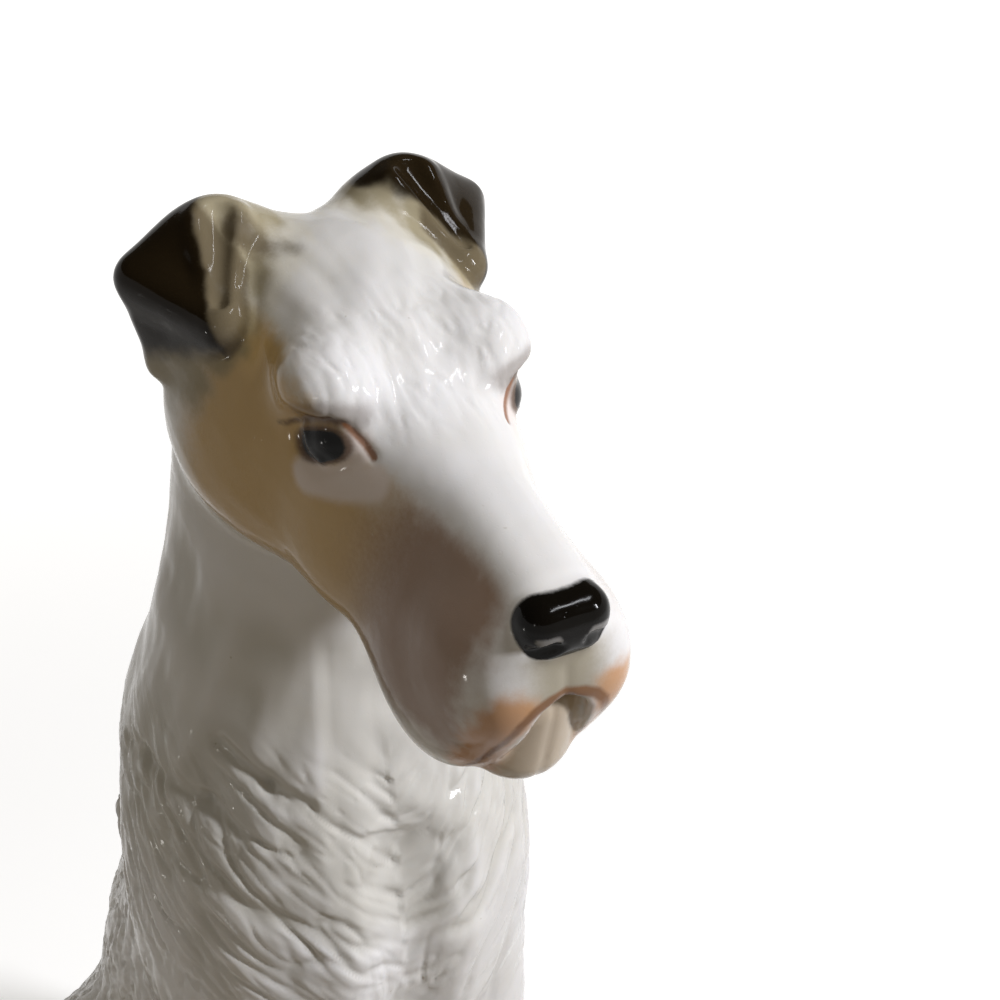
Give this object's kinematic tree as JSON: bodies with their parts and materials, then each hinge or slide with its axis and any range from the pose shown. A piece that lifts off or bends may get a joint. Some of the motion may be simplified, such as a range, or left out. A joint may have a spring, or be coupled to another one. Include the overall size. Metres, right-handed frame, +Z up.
{
  "type": "porcelain dog figurine",
  "caption": "Seated wire-haired terrier ornament in glazed white porcelain, with folded dark ears, a long square muzzle and a flat base to stand on.",
  "frame": {"origin": "middle of the bounding box of the whole figure, at the level of the table it stands on", "axes": "+Z up, the dog looks towards -Y, its left side is +X"},
  "size_m": [0.0718, 0.1286, 0.1851],
  "materials": {
    "glazed_white_body": "clear glossy glaze over off-white porcelain, hair lines modelled in the clay",
    "glazed_white_head": "clear glossy glaze over off-white porcelain, airbrushed tan shading, painted eyes, nose and mouth",
    "painted_brown_ears": "brown-black underglaze paint fading to olive under a clear glossy glaze"
  },
  "bodies": {
    "root": {"torso_casting": "glazed_white_body", "head_casting": "glazed_white_head", "ear_left": "painted_brown_ears", "ear_right": "painted_brown_ears", "foreleg_left": "glazed_white_body", "foreleg_right": "glazed_white_body", "hind_foot_left": "glazed_white_body", "hind_foot_right": "glazed_white_body", "tail": "glazed_white_body"}
  },
  "joints": []
}
